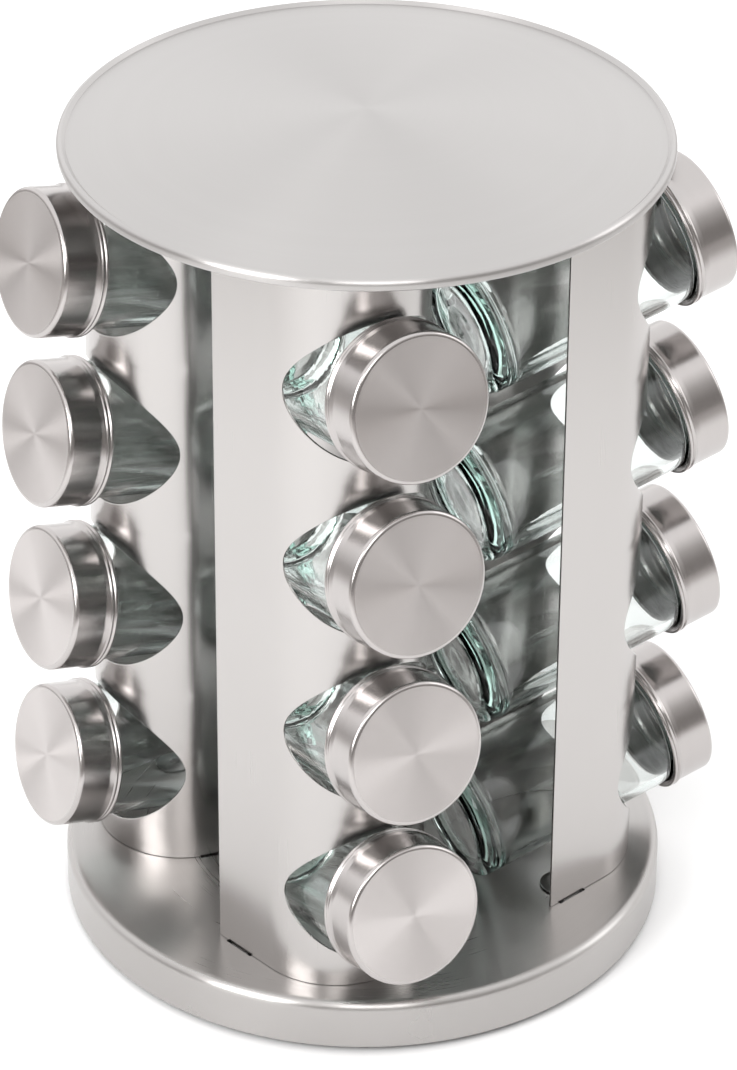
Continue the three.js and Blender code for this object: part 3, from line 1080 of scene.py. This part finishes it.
@dataclass
class Jars(SubAssembly):
    """Sixteen glass jars: a thick bottom, a straight wall, a shoulder and a threaded neck."""

    stock: Stock
    stations: Stations = field(default_factory=Stations)
    radius: float = 21.0
    end: float = 85.0
    lip: float = 1.6
    shoulder: float = 15.05
    heel: float = 3.6
    neck: float = 19.6
    wall: float = 2.3
    floor: float = 5.4
    facets: int = 96
    thread_top: float = 4.0
    thread_pitch: float = 3.6
    thread_height: float = 0.9

    def _profile(self) -> Profile:
        """The jar's section, from the middle of its bottom out and over the lip to the inside."""
        radius, neck, heel = self.radius, self.neck, self.heel
        shape = Profile(0, -self.end + 1.3).to(8, -self.end + 1.2).to(13.5, -self.end + 0.7)
        shape.arc(16.4, -self.end + 0.9, 0.9, 230, 290, 4)
        shape.arc(radius - heel, -self.end + heel, heel, -78, 0, 8)
        shape.to(radius, -60).to(radius, -40).to(radius, -self.shoulder - 1.0)
        shape.arc(radius - 0.7, -self.shoulder - 0.8, 0.7, 0, 82, 5)
        shape.arc(neck + 0.3, -self.shoulder + 0.1, 0.3, 262, 180, 3)
        for depth in np.arange(self.shoulder - 0.6, self.lip + 1.2, -0.3):
            shape.to(neck, -depth)
        shape.arc(neck - 0.8, -self.lip - 0.8, 0.8, 0, 90, 4)
        mouth = neck - self.wall
        shape.arc(mouth + 0.7, -self.lip - 0.7, 0.7, 90, 180, 4)
        shape.to(mouth, -9.0).to(mouth + 0.2, -10.0)
        inside = radius - self.wall
        shape.to(inside - 0.2, -13.2).to(inside, -14.2).to(inside, -50)
        bottom = -self.end + self.floor
        shape.arc(inside - 4.2, bottom + 4.2, 4.2, 0, -78, 8)
        shape.to(8, bottom - 0.2 + 0.3).to(0, bottom + 0.45)
        return shape

    def _threaded(self, surface: Surface) -> Surface:
        """Raises a thread on the neck.

        The radius grows by a bell round a helix whose depth falls by one pitch each turn. Two
        turns are summed, each faded at its ends, so the thread closes across the seam.
        """
        x, y, z = surface.points.T
        radius = np.hypot(x, y)
        turn = np.mod(np.arctan2(y, x) / (2 * math.pi), 1)
        rise = np.zeros_like(radius)
        for wrap in (0, 1):
            travel = turn + wrap
            middle = -(self.thread_top + self.thread_pitch * travel)
            bell = np.exp(-(((z - middle) / 0.75) ** 2))
            fade = np.clip(travel / 0.12, 0, 1) * np.clip((1.5 - travel) / 0.12, 0, 1)
            rise = np.maximum(rise, self.thread_height * bell * fade)
        on_neck = (np.abs(radius - self.neck) < 0.01) & (z > -self.shoulder + 1)
        grow = np.where(on_neck, (radius + rise) / np.maximum(radius, 1e-9), 1.0)
        surface.points = surface.points * np.stack([grow, grow, np.ones_like(grow)], -1)
        return surface

    def build(self) -> None:
        """Makes one jar and puts a copy of it at each station."""
        jar = self._threaded(turned(self._profile().supported(0.4), self.facets))
        for bay in range(BAYS):
            for row in range(ROWS):
                node = f"jar_{bay + 1}_{row + 1}"
                surface = jar.moved(self.stations.place(bay, row))
                piece = to_object(f"glass_{node}", to_mesh(node, surface, 60))
                self.hand_over(piece, JAR_GLASS, node, "jar_glass", node)


@dataclass
class Lids(SubAssembly):
    """Sixteen steel lids: a flat spun face, a rounded edge, a plain skirt and a double bead."""

    stock: Stock
    stations: Stations = field(default_factory=Stations)
    radius: float = 22.45
    edge: float = 1.4
    wall: float = 0.7
    bead: float = 23.04
    fold: float = 21.15
    liner: float = 19.4
    facets: int = 128

    def _profile(self) -> Profile:
        """The lid's section, from the middle of its face out, down the skirt and back inside."""
        radius, edge, wall = self.radius, self.edge, self.wall
        shape = Profile(0, 0).to(6, 0).to(12, 0).to(radius - edge - 1, 0).to(radius - edge, 0)
        shape.arc(radius - edge, -edge, edge, 90, 0, 12)
        shape.to(radius, -7).to(radius, -10.6).to(radius + 0.12, -11.4).to(radius + 0.3, -12.1)
        shape.arc(self.bead - 0.55, -12.85, 0.55, 60, -50, 6)
        shape.to(radius + 0.18, -13.62)
        shape.arc(self.bead - 0.6, -14.3, 0.6, 55, -150, 10)
        inside = radius - wall
        shape.to(self.fold, -14.4).to(self.fold, -13.6).to(inside, -12.9).to(inside, -8)
        shape.arc(radius - edge, -edge, edge - wall, 0, 90, 6)
        shape.to(self.liner, -wall).to(self.liner, -wall - 0.45).to(0, -wall - 0.45)
        return shape

    def build(self) -> None:
        """Makes one lid and puts a copy of it at each station."""
        lid = turned(self._profile().supported(0.3), self.facets)
        maps = (lid.four_map, lid.three_map)
        along = np.concatenate([places[..., 1].max(axis=1) for places in maps])
        skirt = along > (self.radius - self.edge + 0.01) * MM
        lined = along > along.max() - (self.liner + 0.5) * MM
        for bay in range(BAYS):
            for row in range(ROWS):
                node = f"lid_{bay + 1}_{row + 1}"
                place = self.stations.place(bay, row)
                mesh = to_mesh(node, lid.moved(place), 60)
                mesh.use_auto_texspace = False
                mesh.texspace_location = place[:3, 3] * MM
                mesh.texspace_size = (self.bead * MM,) * 3
                piece = to_object(f"spun_{node}", mesh)
                self.hand_over(piece, FACE_STEEL, node, "lid_steel", node)
                mesh.materials.append(self.stock.of(SKIRT_STEEL))
                mesh.materials.append(self.stock.of(LID_LINER))
                mesh.polygons.foreach_set("material_index", skirt.astype(np.int32) + lined)


# ---- Turntable ---------------------------------------------------------------------------------


@dataclass
class Turntable(SubAssembly):
    """The rubber ring and pressed foot that stand still, and the bearing between them."""

    stock: Stock
    frame: dict
    facets: int = 128

    def rubber_ring(self) -> None:
        """The ring under the foot: a flat band with rounded sides."""
        low, high = (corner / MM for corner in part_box("rubber_ring"))
        middle, half = (low.z + high.z) / 2, (high.z - low.z) / 2
        shape = Profile(60, high.z).to(70, high.z)
        shape.arc(69.85, middle, half, 90, -90, 8).to(60, low.z)
        shape.arc(60.15, middle, half, 270, 90, 8).to(60, high.z)
        surface = turned(shape.supported(), self.facets, ring=True)
        piece = to_object("moulded_ring", to_mesh("moulded_ring", surface))
        self.hand_over(piece, FOOT_RUBBER, "foot", "rubber", "rubber_ring")

    def foot_plate(self) -> None:
        """The pressed foot: a raised middle with rounded steps and a flat rim."""
        low, high = (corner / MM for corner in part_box("foot_plate"))
        base, top = low.z, high.z
        shape = Profile(4.3, top).to(39, top).arc(40, top - 2, 2, 90, 30, 5)
        shape.arc(52, base + 3, 2, 210, 270, 5).to(71.7, base + 1)
        shape.arc(71.7, base + 0.7, 0.3, 90, 0, 3).arc(71.7, base + 0.3, 0.3, 0, -90, 3)
        shape.to(52, base).arc(52, base + 3, 3, 270, 210, 5)
        shape.arc(40, top - 2, 1, 30, 90, 5).to(4.3, top - 1).to(4.3, top)
        surface = turned(shape.supported(), self.facets, ring=True)
        piece = to_object("pressed_foot", to_mesh("pressed_foot", surface))
        self.hand_over(piece, ZINC_STEEL, "foot", "zinc_steel", "foot_plate")

    def build(self) -> None:
        """Makes the foot, and dresses the bearing's own frame nodes."""
        self.rubber_ring()
        self.foot_plate()
        finishes = {
            "lower_race": ZINC_STEEL,
            "turntable_spider": ZINC_STEEL,
            "spindle_washer": ZINC_STEEL,
            "spindle_nut": ZINC_STEEL,
            "ball_cage": BEARING_STEEL,
            "spindle": BEARING_STEEL,
        }
        for node, finish in finishes.items():
            mesh = self.frame["nodes"][node].data
            mesh.materials.clear()
            mesh.materials.append(self.stock.of(finish))
            log.info("%s: frame node dressed", node)


# ---- Studio ------------------------------------------------------------------------------------


@dataclass(frozen=True)
class Softbox:
    """A soft rectangular lamp that looks at a point."""

    name: str
    place: tuple[float, float, float]
    aim: tuple[float, float, float]
    width: float
    height: float
    power: float

    def build(self) -> None:
        """Hangs the lamp and turns it to its aim."""
        data = bpy.data.lights.new(self.name, "AREA")
        data.shape = "RECTANGLE"
        data.size, data.size_y = self.width, self.height
        data.energy = self.power
        lamp = bpy.data.objects.new(self.name, data)
        bpy.context.scene.collection.objects.link(lamp)
        lamp.location = self.place
        away = Vector(self.aim) - Vector(self.place)
        lamp.rotation_mode = "QUATERNION"
        lamp.rotation_quaternion = away.to_track_quat("-Z", "Y")


SOFTBOXES = (
    Softbox("left_box", (-1.5, -0.5, 0.95), (0, 0, 0.15), 0.8, 0.9, 19.0),
    Softbox("front_box", (-0.75, -1.6, 1.7), (0, 0, 0.15), 1.0, 0.9, 12.0),
    Softbox("right_box", (1.6, -0.6, 0.9), (0, 0, 0.15), 0.6, 1.0, 3.0),
)


PALE_FLOOR = (0.93, 0.93, 0.93)
# The far floor colour is painted shade: it stands in for the dim room beyond a lit table.
FAR_FLOOR_PAINTED_SHADE = (0.42, 0.405, 0.395)
FLOOR_STOPS = [(0.0, PALE_FLOOR), (0.55, PALE_FLOOR), (0.95, FAR_FLOOR_PAINTED_SHADE)]
SKY_STOPS = [
    (0.0, (0.30, 0.285, 0.275)),
    (0.35, (0.60, 0.585, 0.575)),
    (0.7, (1.3, 1.29, 1.29)),
    (1.0, (1.2, 1.2, 1.2)),
]


@dataclass(frozen=True)
class Studio:
    """The floor, the light all round, the lamps and the camera."""

    eye: tuple[float, float, float] = (-0.6172, -1.0728, 0.8995)
    aim: tuple[float, float, float] = (-0.0002, -0.0029, 0.13)
    roll: float = 0.38
    lens: float = 158.5
    floor_size: float = 6.0
    sweep_turn: float = 60.0
    sweep_shift: float = 0.25
    sweep_length: float = 1.5
    sweep_width: float = 0.8
    light: float = 1.12
    sky_up: float = 0.9
    sky_ahead: float = 0.6
    sky_level: float = 0.15
    glass_bounces: int = 20

    def camera(self) -> None:
        """Stands the camera at the eye, looking at the aim, rolled a little about its own axis."""
        data = bpy.data.cameras.new("camera")
        data.lens = self.lens
        data.sensor_width = 36.0
        data.sensor_fit = "AUTO"
        data.clip_start, data.clip_end = 0.05, 50.0
        camera = bpy.data.objects.new("camera", data)
        bpy.context.scene.collection.objects.link(camera)
        ahead = (Vector(self.aim) - Vector(self.eye)).normalized()
        side = ahead.cross(Vector((0, 0, 1))).normalized()
        up = side.cross(ahead)
        lean = math.radians(self.roll)
        right = side * math.cos(lean) + up * math.sin(lean)
        over = up * math.cos(lean) - side * math.sin(lean)
        turn = Matrix((right, over, -ahead)).transposed().to_4x4()
        camera.matrix_world = Matrix.Translation(self.eye) @ turn
        bpy.context.scene.camera = camera

    def floor(self) -> None:
        """Lays a plain pale floor that greys far away, outside an ellipse along the sweep; the grey
        is painted shade, standing in for the dim room beyond a lit table that the steel reflects.
        """
        half = self.floor_size / 2 / MM
        points = np.array([(-half, -half, 0), (half, -half, 0), (half, half, 0), (-half, half, 0)])
        faces = np.array([[0, 1, 2, 3]])
        surface = four_sided(points, faces, np.zeros((1, 4, 2)))
        floor = to_object("floor", to_mesh("floor", surface))
        material, shader = new_material("pale_floor_painted_shade")
        place = shader.node("ShaderNodeTexCoord")
        parts = shader.node("ShaderNodeSeparateXYZ", None, {0: place.outputs["Object"]})
        x, y = (Value(shader, parts.outputs[i]) for i in (0, 1))
        turn = math.radians(self.sweep_turn)
        ahead = x * math.cos(turn) + y * math.sin(turn) - self.sweep_shift
        aside = y * math.cos(turn) - x * math.sin(turn)
        reach = ((ahead / self.sweep_length) ** 2 + (aside / self.sweep_width) ** 2) ** 0.5
        # This ramp paints shade: the floor greys outside the ellipse, standing in for the dim room
        # that the steel reflects.
        ramp = shader.node("ShaderNodeValToRGB", {"stops": FLOOR_STOPS}, {0: reach})
        inputs = {"Base Color": ramp.outputs[0], "Roughness": 0.8}
        paint = shader.node("ShaderNodeBsdfPrincipled", None, inputs)
        shader.node("ShaderNodeOutputMaterial", None, {"Surface": paint.outputs[0]})
        floor.data.materials.append(material)
        floor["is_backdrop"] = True

    def surround(self) -> None:
        """Lights the scene from all round: bright overhead and along the sweep, dim behind it."""
        world = bpy.data.worlds.new("surround")
        bpy.context.scene.world = world
        world.use_nodes = True
        shader = Shader(world.node_tree)
        place = shader.node("ShaderNodeTexCoord")
        parts = shader.node("ShaderNodeSeparateXYZ", None, {0: place.outputs["Generated"]})
        x, y, up = (Value(shader, parts.outputs[i]) for i in range(3))
        turn = math.radians(self.sweep_turn)
        ahead = x * math.cos(turn) + y * math.sin(turn)
        bright = (up * self.sky_up + ahead * self.sky_ahead + self.sky_level).clamped()
        ramp = shader.node("ShaderNodeValToRGB", {"stops": SKY_STOPS}, {0: bright})
        inputs = {"Color": ramp.outputs[0], "Strength": self.light}
        sky = shader.node("ShaderNodeBackground", None, inputs)
        shader.node("ShaderNodeOutputWorld", None, {"Surface": sky.outputs[0]})

    def build(self) -> None:
        """Sets up the camera, the floor and the light."""
        self.camera()
        self.floor()
        self.surround()
        for box in SOFTBOXES:
            box.build()
        bpy.context.scene.view_settings.view_transform = "Standard"
        paths = bpy.context.scene.cycles
        paths.max_bounces = paths.transmission_bounces = self.glass_bounces
        log.info("studio ready")


# ---- Whole -------------------------------------------------------------------------------------


def corners() -> list[list[float]]:
    """The shown object's lowest and highest corner as plain lists."""
    return [list(corner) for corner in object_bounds()]


def main() -> None:
    """Loads the frame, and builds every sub-assembly round it."""
    logging.basicConfig(level=logging.INFO, format="%(name)s: %(message)s")
    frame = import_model()
    Studio().build()
    stock = Stock()
    sheets = ColumnSheets(stock)
    sheets.build()
    SpunPlates(stock, sheets).build()
    Rivets(stock).build()
    Turntable(stock, frame).build()
    Jars(stock).build()
    Lids(stock).build()


if __name__ == "__main__":
    main()
